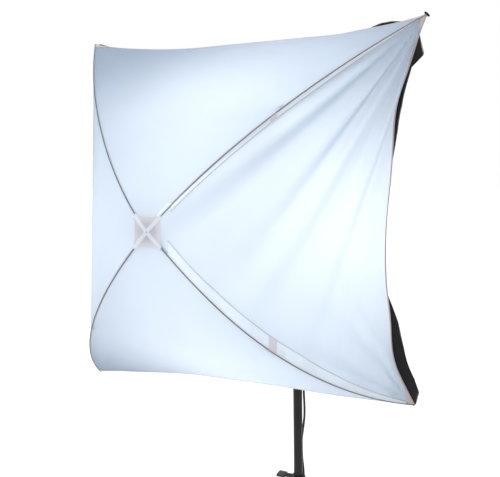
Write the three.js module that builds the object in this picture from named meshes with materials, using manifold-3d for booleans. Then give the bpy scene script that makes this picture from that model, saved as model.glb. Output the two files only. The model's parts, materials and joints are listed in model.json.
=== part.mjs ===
// A studio softbox: a square diffuser on an umbrella frame, with a black rear cover,
// a lamp head and a tripod stand.
// Millimetres, +Z up. The diffuser faces -Y and the stand's column is upright.

import * as THREE from 'three';
import { mergeVertices } from 'three/addons/utils/BufferGeometryUtils.js';
import Module from 'manifold-3d';

const wasm = await Module();
wasm.setup();

// Driving dimensions
const SHAFT_HEIGHT = 1400;
const APEX_Y = -695;
const GAP = 0.35;

// Each rib leaves the apex outwards and bends back: distance back = drop * (share of reach) ^ bow.
const RIBS = [
  { name: 'top_left', x: -1, z: 1, reach: 574, drop: 396, bow: 1.506, clip: 0.497 },
  { name: 'top_right', x: 1, z: 1, reach: 556, drop: 397, bow: 1.943, clip: 0.527 },
  { name: 'bottom_right', x: 1, z: -1, reach: 544, drop: 371, bow: 2.963, clip: 0.568 },
  { name: 'bottom_left', x: -1, z: -1, reach: 582, drop: 363, bow: 1.957, clip: 0.515 },
];
const EDGE_SAGS = [[0.094, 3, 6], [0.11, 3.2, 3.6], [0.155, 3, 1.7], [0.1, 2, 2]];
const FABRIC = 1;
const RIB_RADIUS = 2.2;
const RIB_INSET = 8;
const RIB_END = 12;
const CLIP_DROP = 5;
const PIN = { radius: 13, crown: 16, runner: 330 };
const STRETCHER_RADIUS = 2;
const STRETCHER_OFFSET = 4.6;
const SHAFT_RADIUS = 5;
const SHAFT_END_Y = 108;
const CUFF = { radius: 80, y: -130, rise: 40 };

const COLUMN_RADIUS = 12.5;
const BASE_RADIUS = 15;
const BASE_TOP = 612;
const COLLAR_TOP = 636;
const COLUMN_TOP = 1283;
const TILT_HEIGHT = SHAFT_HEIGHT - 45;
const LAMP_HEIGHT = SHAFT_HEIGHT + 70;

const LEG = { pivotRadius: 32, pivotHeight: 400, length: 559, angle: 45.43, tube: 8 };
const BRACE = { pivotRadius: 30, pivotHeight: 75, along: 250, offset: 10 };
const LEG_SIDES = [
  { name: 'front', azimuth: -90 },
  { name: 'right', azimuth: 30 },
  { name: 'left', azimuth: 150 },
];

const LEAD_RADIUS = 3.25;
const LEAD_AZIMUTH = 40;
const COIL = { x: 0, y: 190, radius: 36, width: 20, height: 13.5 };

const FINISHES = {
  black_metal: { color: 0x17181a, roughness: 0.42, metalness: 0.7 },
  black_plastic: { color: 0x1b1b1d, roughness: 0.55, metalness: 0 },
  rubber: { color: 0x141414, roughness: 0.85, metalness: 0 },
  steel: { color: 0xa9acb0, roughness: 0.3, metalness: 0.9 },
  fibreglass: { color: 0x3a3836, roughness: 0.4, metalness: 0 },
  white_fabric: { color: 0xe6edf6, roughness: 0.8, metalness: 0 },
  black_fabric: { color: 0x16161a, roughness: 0.85, metalness: 0 },
  patch: { color: 0xcfc9c2, roughness: 0.8, metalness: 0 },
  frosted_glass: { color: 0xfffaf0, roughness: 0.5, metalness: 0 },
};

const model = new THREE.Group();
const degrees = THREE.MathUtils.degToRad;
const X = new THREE.Vector3(1, 0, 0);
const Y = new THREE.Vector3(0, 1, 0);
const Z = new THREE.Vector3(0, 0, 1);
const at = (x, y, z) => new THREE.Vector3(x, y, z);

// Solids

function weldedSolid(geometry) {
  const bare = geometry.clone();
  bare.deleteAttribute('normal');
  bare.deleteAttribute('uv');
  const welded = mergeVertices(bare, 1e-4);
  const points = welded.attributes.position;
  const index = welded.index.array;
  const corners = [];
  const [a, b, c] = [at(0, 0, 0), at(0, 0, 0), at(0, 0, 0)];
  let volume = 0;
  for (let i = 0; i < index.length; i += 3) {
    const [p, q, r] = [index[i], index[i + 1], index[i + 2]];
    if (p !== q && q !== r && r !== p) {
      corners.push(p, q, r);
      a.fromBufferAttribute(points, p);
      b.fromBufferAttribute(points, q);
      c.fromBufferAttribute(points, r);
      volume += a.dot(b.cross(c));
    }
  }
  if (volume < 0) {
    corners.reverse();
  }
  return new wasm.Manifold(new wasm.Mesh({
    numProp: 3,
    vertProperties: Float32Array.from(points.array),
    triVerts: Uint32Array.from(corners),
  }));
}

function combine(added, removed = []) {
  let solid = weldedSolid(added[0]);
  for (const piece of added.slice(1)) {
    solid = solid.add(weldedSolid(piece));
  }
  for (const piece of removed) {
    solid = solid.subtract(weldedSolid(piece));
  }
  const mesh = solid.getMesh();
  const geometry = new THREE.BufferGeometry();
  geometry.setAttribute('position', new THREE.BufferAttribute(Float32Array.from(mesh.vertProperties), 3));
  geometry.setIndex(new THREE.BufferAttribute(Uint32Array.from(mesh.triVerts), 1));
  return geometry;
}

function add(name, geometry, finish) {
  const smooth = geometry.attributes.normal ? geometry : geometry.clone();
  smooth.computeVertexNormals();
  const mesh = new THREE.Mesh(smooth, new THREE.MeshStandardMaterial(FINISHES[finish]));
  mesh.name = name;
  model.add(mesh);
}

// Shapes

function box(from, to) {
  const size = to.clone().sub(from);
  const middle = to.clone().add(from).multiplyScalar(0.5);
  return new THREE.BoxGeometry(size.x, size.y, size.z).translate(middle.x, middle.y, middle.z);
}

function aimed(geometry, origin, direction) {
  const turn = new THREE.Quaternion().setFromUnitVectors(Z, direction.clone().normalize());
  return geometry.applyQuaternion(turn).translate(origin.x, origin.y, origin.z);
}

// A turned piece: the profile's points are [radius, distance along the direction from the origin].
function turned(profile, origin, direction, sides = 16) {
  const points = profile.map(([radius, along]) => new THREE.Vector2(radius, along));
  const geometry = new THREE.LatheGeometry(points, sides).rotateX(Math.PI / 2);
  return aimed(geometry, origin, direction);
}

function rod(from, to, radius, sides = 12) {
  const along = to.clone().sub(from);
  const length = along.length();
  return turned([[0, 0], [radius, 0], [radius, length], [0, length]], from, along, sides);
}

function disc(middle, axis, radius, thickness, sides = 10) {
  const half = axis.clone().normalize().multiplyScalar(thickness / 2);
  return rod(middle.clone().sub(half), middle.clone().add(half), radius, sides);
}

function tube(points, radius, steps, sides = 8) {
  const ring = new THREE.Shape();
  for (let i = 0; i < sides; i += 1) {
    const angle = (2 * Math.PI * i) / sides;
    const [x, y] = [radius * Math.cos(angle), radius * Math.sin(angle)];
    if (i === 0) {
      ring.moveTo(x, y);
    } else {
      ring.lineTo(x, y);
    }
  }
  ring.closePath();
  const path = new THREE.CatmullRomCurve3(points, false, 'centripetal');
  return new THREE.ExtrudeGeometry(ring, { steps, extrudePath: path, bevelEnabled: false });
}

// A flat block seen in the plane of two directions, centred on the third one.
function oriented(middle, along, across, size) {
  const third = along.clone().cross(across).normalize();
  const basis = new THREE.Matrix4().makeBasis(along.clone().normalize(), across.clone().normalize(), third);
  const geometry = new THREE.BoxGeometry(size.x, size.y, size.z).applyMatrix4(basis);
  return geometry.translate(middle.x, middle.y, middle.z);
}

// A sheet of fabric: a grid of points made solid by moving a copy of it along its normals, towards +Y.
function sheet(surface, rows, columns, thickness) {
  const grid = [];
  for (let i = 0; i <= rows; i += 1) {
    grid.push([]);
    for (let j = 0; j <= columns; j += 1) {
      grid[i].push(surface(i / rows, j / columns));
    }
  }
  const cellNormals = [];
  for (let i = 0; i < rows; i += 1) {
    cellNormals.push([]);
    for (let j = 0; j < columns; j += 1) {
      const first = grid[i + 1][j + 1].clone().sub(grid[i][j]);
      const normal = first.cross(grid[i + 1][j].clone().sub(grid[i][j + 1])).normalize();
      cellNormals[i].push(normal.y < 0 ? normal.negate() : normal);
    }
  }
  const offset = grid.map((row, i) => row.map((point, j) => {
    const around = [];
    for (const [di, dj] of [[-1, -1], [-1, 0], [0, -1], [0, 0]]) {
      const normal = (cellNormals[i + di] || [])[j + dj];
      if (normal) {
        around.push(normal);
      }
    }
    const mean = around.reduce((sum, normal) => sum.add(normal), at(0, 0, 0)).normalize();
    const lean = around.reduce((sum, normal) => sum + normal.dot(mean), 0) / around.length;
    return point.clone().addScaledVector(mean, thickness / lean);
  }));
  const triangles = [];
  const quad = (a, b, c, d) => triangles.push(a, b, c, a, c, d);
  for (let i = 0; i < rows; i += 1) {
    for (let j = 0; j < columns; j += 1) {
      quad(grid[i][j], grid[i + 1][j], grid[i + 1][j + 1], grid[i][j + 1]);
      quad(offset[i][j], offset[i][j + 1], offset[i + 1][j + 1], offset[i + 1][j]);
    }
    quad(grid[i][0], offset[i][0], offset[i + 1][0], grid[i + 1][0]);
    quad(grid[i][columns], grid[i + 1][columns], offset[i + 1][columns], offset[i][columns]);
  }
  for (let j = 0; j < columns; j += 1) {
    quad(grid[0][j], grid[0][j + 1], offset[0][j + 1], offset[0][j]);
    quad(grid[rows][j], offset[rows][j], offset[rows][j + 1], grid[rows][j + 1]);
  }
  return new THREE.BufferGeometry().setFromPoints(triangles);
}

// Umbrella frame

const outwardOf = (rib) => at(rib.x, 0, rib.z).normalize();
const sideOf = (rib) => outwardOf(rib).cross(Y).normalize();

// A point in a rib's own plane: radius from the shaft's axis, distance back from the apex, sideways offset.
function inPlane(rib, radius, back, sideways = 0) {
  const point = outwardOf(rib).multiplyScalar(radius).addScaledVector(sideOf(rib), sideways);
  return point.add(at(0, APEX_Y + back, SHAFT_HEIGHT));
}

function seam(rib, share) {
  return inPlane(rib, rib.reach * share, rib.drop * share ** rib.bow);
}

// The rib's centre line, inside the seam by the inset.
function ribPoint(rib, share, inset = RIB_INSET) {
  const slope = (rib.drop * rib.bow * share ** (rib.bow - 1)) / rib.reach;
  const length = Math.hypot(1, slope);
  const radius = rib.reach * share - (inset * slope) / length;
  return [radius, rib.drop * share ** rib.bow + inset / length];
}

function shareBeforeTip(rib, distance) {
  const slope = (rib.drop * rib.bow) / rib.reach;
  return 1 - distance / (rib.reach * Math.hypot(1, slope));
}

const ribLine = (rib, share) => inPlane(rib, ...ribPoint(rib, share));

function makeRib(rib) {
  const side = sideOf(rib);
  const pin = inPlane(rib, PIN.radius, PIN.crown);
  const points = [inPlane(rib, PIN.radius + 1, PIN.crown), inPlane(rib, 34, PIN.crown - 2)];
  const last = shareBeforeTip(rib, RIB_END);
  for (let i = 1; i <= 12; i += 1) {
    points.push(ribLine(rib, 0.12 + ((last - 0.12) * (i - 1)) / 11));
  }
  const eye = disc(pin, side, 3.4, 4.4);
  const hole = disc(pin, side, 1.6, 8, 8);
  add(`rib_${rib.name}`, combine([tube(points, RIB_RADIUS, 14, 6), eye], [hole]), 'fibreglass');
}

function makePocket(rib) {
  const mouth = ribLine(rib, shareBeforeTip(rib, 36));
  const end = ribLine(rib, shareBeforeTip(rib, 9.5));
  const along = end.clone().sub(mouth);
  const length = along.length();
  const outside = [[0, length], [2.6, length], [4, length - 2], [4, 0]];
  const inside = [[2.8, 0], [2.8, length - 1.6], [0, length - 1.6]];
  const profile = [...outside, ...inside];
  add(`corner_pocket_${rib.name}`, combine([turned(profile, mouth, along, 10)]), 'black_plastic');
}

// The stretcher's outer end lies beside the rib, at the clip that hangs just inside it.
function clipPoint(rib, sideways) {
  const [radius, back] = ribPoint(rib, rib.clip, RIB_INSET + CLIP_DROP);
  return inPlane(rib, radius, back, sideways);
}

function makeStretcher(rib) {
  const side = sideOf(rib);
  const pin = inPlane(rib, PIN.radius, PIN.runner);
  const end = clipPoint(rib, STRETCHER_OFFSET);
  const start = pin.clone().lerp(end, 0.006);
  const solids = [
    rod(start, end, STRETCHER_RADIUS, 6),
    disc(pin, side, 3.4, 4.4),
    disc(end, side, 4.4, 3),
    disc(clipPoint(rib, STRETCHER_OFFSET + 1.8), side, 1.9, 1.8, 8),
  ];
  add(`stretcher_${rib.name}`, combine(solids, [disc(pin, side, 1.6, 8, 8)]), 'steel');
}

function slotsAndPins(back, from, to) {
  const slots = [];
  const pins = [];
  for (const rib of RIBS) {
    const middle = inPlane(rib, 18.5, (from + to) / 2);
    slots.push(oriented(middle, outwardOf(rib), Y, at(20, to - from, 5.4)));
    pins.push(disc(inPlane(rib, PIN.radius, back), sideOf(rib), 1.2, 8, 6));
  }
  return { slots, pins };
}

function combineHub(profile, back, from, to, holes = []) {
  const origin = at(0, APEX_Y, SHAFT_HEIGHT);
  const { slots, pins } = slotsAndPins(back, from, to);
  let hub = combine([turned(profile, origin, Y, 20)], [...slots, ...holes]);
  hub = combine([hub, ...pins]);
  return hub;
}

function makeHubs() {
  const bore = SHAFT_RADIUS + GAP;
  const crown = [[0, 5], [15, 5], [20, 9], [20, 34], [bore, 34], [bore, 12], [0, 12]];
  add('crown', combineHub(crown, PIN.crown, 10, 40), 'black_plastic');

  const pin = PIN.runner;
  const runner = [
    [bore, pin - 8], [20, pin - 8], [20, pin + 9], [13.5, pin + 12], [13.5, pin + 28],
    [bore, pin + 28], [bore, pin - 8],
  ];
  const latchY = APEX_Y + pin + 20;
  const well = rod(at(7.2, latchY, SHAFT_HEIGHT), at(20, latchY, SHAFT_HEIGHT), 3.8, 14);
  add('runner', combineHub(runner, pin, pin - 20, pin + 5, [well]), 'black_plastic');

  const button = [[0, 0], [3.4, 0], [3.4, 7.4], [2.4, 8.2], [0, 8.2]];
  add('runner_latch', combine([turned(button, at(9.4, latchY, SHAFT_HEIGHT), X, 14)]), 'steel');
}

function makeShaft() {
  const from = at(0, APEX_Y + 12 + GAP, SHAFT_HEIGHT);
  add('shaft', combine([rod(from, at(0, SHAFT_END_Y, SHAFT_HEIGHT), SHAFT_RADIUS, 20)]), 'steel');
  const bore = SHAFT_RADIUS + GAP;
  const outside = [[bore, 0], [7.2, 0], [7.2, 14], [5.5, 16], [0, 16]];
  const inside = [[0, 12 + GAP], [bore, 12 + GAP], [bore, 0]];
  const cap = turned([...outside, ...inside], at(0, SHAFT_END_Y - 12, SHAFT_HEIGHT), Y);
  add('shaft_end_cap', combine([cap]), 'rubber');
}

// Fabric

// A point of the diffuser: share runs from the apex to the rim, across from -0.5 to 0.5 about the rib.
function diffuserPoint(index, share, across) {
  const neighbour = (index + (across < 0 ? 3 : 1)) % 4;
  const [depth, startPower, endPower] = EDGE_SAGS[across < 0 ? neighbour : index];
  const amount = Math.abs(across);
  const along = across < 0 ? 1 - amount : amount;
  const power = along < 0.5 ? startPower : endPower;
  const reach = share * (1 - depth * (1 - Math.abs(2 * along - 1) ** power));
  return seam(RIBS[index], reach).lerp(seam(RIBS[neighbour], reach), amount);
}

function trimmed(across, width) {
  const limit = 0.5 - 0.25 / width;
  return THREE.MathUtils.clamp(across, -limit, limit);
}

function makeDiffuser(rib, index) {
  const first = 8 / rib.reach;
  const surface = (row, column) => {
    const share = first + (1 - first) * row;
    return diffuserPoint(index, share, trimmed(column - 0.5, share * 780));
  };
  add(`diffuser_${rib.name}`, combine([sheet(surface, 12, 6, FABRIC)]), 'white_fabric');
}

function makeRearCover(rib, index) {
  const corner = Math.atan2(rib.z, rib.x);
  const surface = (row, column) => {
    const across = trimmed(column - 0.5, THREE.MathUtils.lerp(780, 120, row));
    const rim = diffuserPoint(index, 1, across);
    const outward = rim.clone().sub(diffuserPoint(index, 0.99, across)).normalize();
    const angle = corner - across * (Math.PI / 2);
    const cuffHeight = SHAFT_HEIGHT + CUFF.rise + CUFF.radius * Math.sin(angle);
    const cuff = at(CUFF.radius * Math.cos(angle), CUFF.y, cuffHeight);
    const bulge = 14 * Math.sin(Math.PI * row);
    return rim.addScaledVector(outward, 0.8).lerp(cuff, row).add(at(0, bulge, 0));
  };
  add(`rear_cover_${rib.name}`, combine([sheet(surface, 6, 6, FABRIC)]), 'black_fabric');
}

function makeCentrePatch() {
  const rings = [0.037, 0.074];
  const front = [seam(RIBS[0], 0)];
  for (const share of rings) {
    for (let i = 0; i < 8; i += 1) {
      front.push(diffuserPoint(Math.floor(i / 2), share, i % 2 === 0 ? 0 : 0.5));
    }
  }
  const outer = front.map((point) => point.clone().add(at(0, -1.5, 0)));
  const inner = front.map((point) => point.clone().add(at(0, -0.6, 0)));
  const triangles = [];
  for (let i = 0; i < 8; i += 1) {
    const next = (i + 1) % 8;
    for (const [layer, flip] of [[outer, false], [inner, true]]) {
      const [a, b, c, d] = [layer[1 + i], layer[1 + next], layer[9 + next], layer[9 + i]];
      const faces = [layer[0], a, b, a, d, c, a, c, b];
      triangles.push(...(flip ? faces.reverse() : faces));
    }
    const [a, b, c, d] = [outer[9 + i], outer[9 + next], inner[9 + next], inner[9 + i]];
    triangles.push(a, c, b, a, d, c);
  }
  add('centre_patch', combine([new THREE.BufferGeometry().setFromPoints(triangles)]), 'patch');
}

// Lamp head

function makeHead() {
  const axis = at(0, 0, TILT_HEIGHT);
  const shaftBore = rod(at(0, -50, SHAFT_HEIGHT), at(0, 80, SHAFT_HEIGHT), SHAFT_RADIUS + GAP, 20);
  const screwHole = rod(at(4, 20, SHAFT_HEIGHT), at(20, 20, SHAFT_HEIGHT), 3.3, 14);
  const saddleCut = rod(at(0, -60, LAMP_HEIGHT), at(0, 80, LAMP_HEIGHT), 27 + GAP, 32);
  const bracket = combine([
    box(at(-15, -38, TILT_HEIGHT + 17), at(15, 60, SHAFT_HEIGHT + 20)),
    box(at(-12.8, -12, TILT_HEIGHT), at(12.8, 12, TILT_HEIGHT + 20)),
    box(at(-13, -22, SHAFT_HEIGHT + 18), at(13, 34, LAMP_HEIGHT - 16)),
    disc(axis, X, 15, 25.6, 24),
  ], [shaftBore, screwHole, saddleCut, disc(axis, X, 4 + GAP, 40)]);
  add('head_bracket', bracket, 'black_metal');

  const socket = [[0, -58], [24, -58], [24, -40], [27, -36], [27, 50], [22, 62], [0, 62]];
  const pocket = box(at(-7.6, 53.5, LAMP_HEIGHT + 6.2), at(7.6, 70, LAMP_HEIGHT + 20.8));
  const body = turned(socket, at(0, 0, LAMP_HEIGHT), Y, 28);
  add('lamp_socket', combine([body], [pocket]), 'black_plastic');

  const rocker = box(at(-6.8, 56, LAMP_HEIGHT + 7.2), at(6.8, 63.5, LAMP_HEIGHT + 19.8));
  add('power_switch', combine([rocker]), 'black_plastic');

  const gland = [[0, 0], [7, 0], [7, 6], [5.4, 9], [4.4, 22], [0, 22]];
  add('cord_gland', combine([turned(gland, at(0, 62 + GAP, LAMP_HEIGHT - 8), Y, 16)]), 'black_plastic');

  const screw = [[0, 0], [3, 0], [3, 9.6], [9, 9.6], [9, 20], [7.5, 22], [0, 22]];
  add('umbrella_screw', combine([turned(screw, at(5.8, 20, SHAFT_HEIGHT), X, 12)]), 'black_plastic');
}

function makeBulb() {
  const front = at(0, -58 - GAP, LAMP_HEIGHT);
  const back = Y.clone().negate();
  const base = [[0, 0], [16, 0], [21, 6], [21, 36], [17, 38], [0, 38]];
  add('bulb_base', combine([turned(base, front, back, 16)]), 'black_plastic');
  const outline = [[19, 0], [31, 30], [37.5, 68]];
  const dome = [];
  for (let i = 1; i <= 4; i += 1) {
    const angle = (i / 4) * (Math.PI / 2);
    dome.push([37.5 * Math.cos(angle), 68 + 37.5 * Math.sin(angle)]);
  }
  const wall = 1.4;
  const outer = [...outline, ...dome];
  const inner = outer.map(([radius, along]) => [Math.max(radius - wall, 0), along - (along > 68 ? wall : 0)]);
  inner[inner.length - 1][1] = outer[outer.length - 1][1] - wall;
  const profile = [...outer, ...inner.reverse(), outer[0]];
  const neck = at(0, -58 - 38 - 2 * GAP, LAMP_HEIGHT);
  add('bulb_glass', combine([turned(profile, neck, back, 16)]), 'frosted_glass');
}

function makeYoke() {
  const axis = at(0, 0, TILT_HEIGHT);
  const foot = at(0, 0, COLUMN_TOP);
  const screwHeight = COLUMN_TOP + 20;
  const sleeve = turned([[0, 0], [17, 0], [17, 36], [0, 36]], foot, Z, 24);
  const bore = turned([[0, -1], [8 + GAP, -1], [8 + GAP, 34.8], [0, 34.8]], foot, Z, 20);
  const solids = [sleeve, box(at(-19.3, -15, COLUMN_TOP + 34), at(19.3, 15, COLUMN_TOP + 48))];
  for (const side of [-1, 1]) {
    const [low, high] = [Math.min(13.3 * side, 19.3 * side), Math.max(13.3 * side, 19.3 * side)];
    solids.push(box(at(low, -15, COLUMN_TOP + 40), at(high, 15, TILT_HEIGHT)));
    solids.push(disc(at(16.3 * side, 0, TILT_HEIGHT), X, 15.6, 6, 24));
  }
  solids.push(disc(axis, X, 4, 34));
  const screwHole = rod(at(-6, 0, screwHeight), at(-22, 0, screwHeight), 3.3, 14);
  add('yoke', combine(solids, [bore, screwHole]), 'black_metal');

  const profile = [[0, 0], [3, 0], [3, 8.6], [11, 8.6], [11, 18], [9, 20.5], [0, 20.5]];
  const screw = turned(profile, at(-8.9, 0, screwHeight), X.clone().negate(), 10);
  add('yoke_screw', combine([screw]), 'black_plastic');

  const hub = at(25.4, 0, TILT_HEIGHT);
  const grip = at(26.4, -44, TILT_HEIGHT - 38);
  add('tilt_lever', combine([
    disc(hub, X, 11, 11, 18),
    rod(hub, grip, 4.5, 10),
    disc(grip, X, 7, 9, 14),
  ]), 'black_plastic');
}

// Stand

const spoke = (azimuth) => at(Math.cos(degrees(azimuth)), Math.sin(degrees(azimuth)), 0);

function onSpoke(azimuth, radius, height, sideways = 0) {
  const outward = spoke(azimuth);
  const side = outward.clone().cross(Z);
  return outward.multiplyScalar(radius).addScaledVector(side, sideways).add(at(0, 0, height));
}

function makeColumns() {
  const base = [[13, 20], [BASE_RADIUS, 20], [BASE_RADIUS, BASE_TOP], [13, BASE_TOP], [13, 20]];
  add('column_base', combine([turned(base, at(0, 0, 0), Z, 24)]), 'black_metal');

  const wall = 1.2;
  const inside = COLUMN_RADIUS - wall;
  const stud = COLUMN_TOP + 34;
  const top = [
    [inside, 150], [COLUMN_RADIUS, 150], [COLUMN_RADIUS, COLUMN_TOP - GAP], [8, COLUMN_TOP - GAP + 0.1],
    [8, stud], [0, stud], [0, COLUMN_TOP - 20], [inside, COLUMN_TOP - 20], [inside, 150],
  ];
  add('column_top', combine([turned(top, at(0, 0, 0), Z, 24)]), 'black_metal');
}

function makeColumnCollar() {
  const height = COLLAR_TOP - 7.5;
  const narrow = COLUMN_RADIUS + GAP;
  const wide = BASE_RADIUS + GAP;
  const step = BASE_TOP + GAP;
  const left = X.clone().negate();
  const outside = [[0, 585], [20, 585], [20, COLLAR_TOP - 3], [18, COLLAR_TOP], [0, COLLAR_TOP]];
  const outer = turned(outside, at(0, 0, 0), Z, 24);
  const boss = rod(at(-10, 0, height), at(-28, 0, height), 6.8, 16);
  const inside = [[0, 580], [wide, 580], [wide, step], [narrow, step], [narrow, 640], [0, 640]];
  const bore = turned(inside, at(0, 0, 0), Z, 24);
  const hole = rod(at(-10, 0, height), at(-40, 0, height), 3.3, 14);
  add('column_collar', combine([outer, boss], [bore, hole]), 'black_plastic');

  const profile = [[0, 0], [3, 0], [3, 15.5], [6.5, 15.5], [5.5, 27], [0, 27]];
  const screw = turned(profile, at(-13.2, 0, height), left, 14);
  const wing = box(at(-62, -13, height - 3.4), at(-38, 13, height + 3.4));
  add('collar_knob', combine([screw, wing]), 'black_plastic');
}

function makeLegCollar() {
  const low = LEG.pivotHeight - 14;
  const high = LEG.pivotHeight + 26;
  const knobAzimuth = 210;
  const knobHeight = LEG.pivotHeight + 14;
  const solids = [turned([[0, low], [21, low], [21, high], [0, high]], at(0, 0, 0), Z, 18)];
  for (const { azimuth } of LEG_SIDES) {
    const side = spoke(azimuth).cross(Z);
    for (const sideways of [-8.2, 8.2]) {
      solids.push(disc(onSpoke(azimuth, LEG.pivotRadius, LEG.pivotHeight, sideways), side, 8.5, 4, 12));
      const middle = onSpoke(azimuth, 24, LEG.pivotHeight, sideways);
      solids.push(oriented(middle, spoke(azimuth), Z, at(16, 17, 4)));
    }
    solids.push(disc(onSpoke(azimuth, LEG.pivotRadius, LEG.pivotHeight), side, 2.8, 16, 8));
  }
  solids.push(rod(onSpoke(knobAzimuth, 12, knobHeight), onSpoke(knobAzimuth, 29, knobHeight), 6.8, 10));
  const bore = rod(at(0, 0, low - 5), at(0, 0, high + 5), BASE_RADIUS + GAP + 0.2, 18);
  const hole = rod(onSpoke(knobAzimuth, 12, knobHeight), onSpoke(knobAzimuth, 40, knobHeight), 3.3, 8);
  add('leg_collar', combine(solids, [bore, hole]), 'black_plastic');

  const screw = [[0, 0], [3, 0], [3, 13.6], [9, 13.6], [9, 24], [7, 27], [0, 27]];
  const start = onSpoke(knobAzimuth, BASE_RADIUS + 2 * GAP, knobHeight);
  add('leg_collar_knob', combine([turned(screw, start, spoke(knobAzimuth), 10)]), 'black_plastic');
}

function makeLeg({ name, azimuth }) {
  const side = spoke(azimuth).cross(Z);
  const pivot = onSpoke(azimuth, LEG.pivotRadius, LEG.pivotHeight);
  const angle = degrees(LEG.angle);
  const down = spoke(azimuth).multiplyScalar(Math.sin(angle)).add(at(0, 0, -Math.cos(angle)));
  const along = (distance) => pivot.clone().addScaledVector(down, distance);
  add(`leg_${name}`, combine([
    disc(pivot, side, 7, 11.2, 12),
    oriented(along(8), down, side, at(16, 11.2, 11)),
    rod(along(12), along(LEG.length - 14), LEG.tube, 12),
  ], [disc(pivot, side, 3.2, 20, 8)]), 'black_metal');

  const boot = [[LEG.tube + GAP, 0], [11, 0], [11.5, 30]];
  for (let i = 1; i <= 3; i += 1) {
    const turn = (i / 3) * (Math.PI / 2);
    boot.push([11.5 * Math.cos(turn), 30 + 11.5 * Math.sin(turn)]);
  }
  boot.push([0, 17], [LEG.tube + GAP, 17], [LEG.tube + GAP, 0]);
  const floor = box(at(-600, -600, -60), at(600, 600, 0));
  add(`foot_${name}`, combine([turned(boot, along(LEG.length - 30), down, 14)], [floor]), 'rubber');
}

function makeBrace({ name, azimuth }) {
  const side = spoke(azimuth).cross(Z);
  const angle = degrees(LEG.angle);
  const radius = LEG.pivotRadius + BRACE.along * Math.sin(angle);
  const height = LEG.pivotHeight - BRACE.along * Math.cos(angle);
  const low = onSpoke(azimuth, BRACE.pivotRadius, BRACE.pivotHeight, BRACE.offset);
  const high = onSpoke(azimuth, radius, height, BRACE.offset);
  const along = high.clone().sub(low);
  const middle = low.clone().lerp(high, 0.5);
  const rivet = high.clone().addScaledVector(side, 2.1);
  add(`brace_${name}`, combine([
    oriented(middle, along, side, at(along.length(), 3, 12)),
    disc(low, side, 6, 3, 10),
    disc(high, side, 6, 3, 10),
    disc(rivet, side, 3.4, 1.6, 8),
  ], [disc(low, side, 3.2, 8, 8)]), 'black_metal');
}

function makeColumnFoot() {
  const solids = [turned([[0, 58], [20, 58], [20, 92], [0, 92]], at(0, 0, 0), Z, 18)];
  for (const { azimuth } of LEG_SIDES) {
    const side = spoke(azimuth).cross(Z);
    const pivot = (sideways) => onSpoke(azimuth, BRACE.pivotRadius, BRACE.pivotHeight, sideways);
    solids.push(oriented(onSpoke(azimuth, 24, BRACE.pivotHeight), spoke(azimuth), Z, at(14, 16, 16)));
    solids.push(disc(pivot(0), side, 8, 16, 12));
    solids.push(rod(pivot(6), pivot(13), 2.8, 8));
    solids.push(rod(pivot(12), pivot(14), 4.6, 8));
  }
  const bore = rod(at(0, 0, 50), at(0, 0, 100), BASE_RADIUS + GAP + 0.2, 18);
  add('column_foot', combine(solids, [bore]), 'black_plastic');
}

// Lead

const leadSide = (radius, height, azimuth = LEAD_AZIMUTH) => onSpoke(azimuth, radius, height);
const YOKE_TIE = COLUMN_TOP + 5;
const COLUMN_TIE = 1150;
const ON_YOKE = 17 + GAP + LEAD_RADIUS;
const ON_COLUMN = COLUMN_RADIUS + GAP + LEAD_RADIUS;

// A flat band around an upright tube and the lead beside it.
function makeTie(name, tubeRadius, height) {
  const reach = tubeRadius + GAP + LEAD_RADIUS;
  const outline = (margin) => {
    const [big, small] = [tubeRadius + margin, LEAD_RADIUS + margin];
    const spread = Math.acos((big - small) / reach);
    const points = [];
    for (let i = 0; i <= 16; i += 1) {
      const angle = spread + ((2 * Math.PI - 2 * spread) * i) / 16;
      points.push(new THREE.Vector2(big * Math.cos(angle), big * Math.sin(angle)));
    }
    for (let i = 0; i <= 6; i += 1) {
      const angle = -spread + (2 * spread * i) / 6;
      points.push(new THREE.Vector2(reach + small * Math.cos(angle), small * Math.sin(angle)));
    }
    return points;
  };
  const band = new THREE.Shape(outline(1.5));
  band.holes.push(new THREE.Path(outline(0.4)));
  const geometry = new THREE.ExtrudeGeometry(band, { depth: 5, bevelEnabled: false, steps: 1 });
  geometry.rotateZ(degrees(LEAD_AZIMUTH)).translate(0, 0, height - 2.5);
  add(name, combine([geometry]), 'black_plastic');
}

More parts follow.
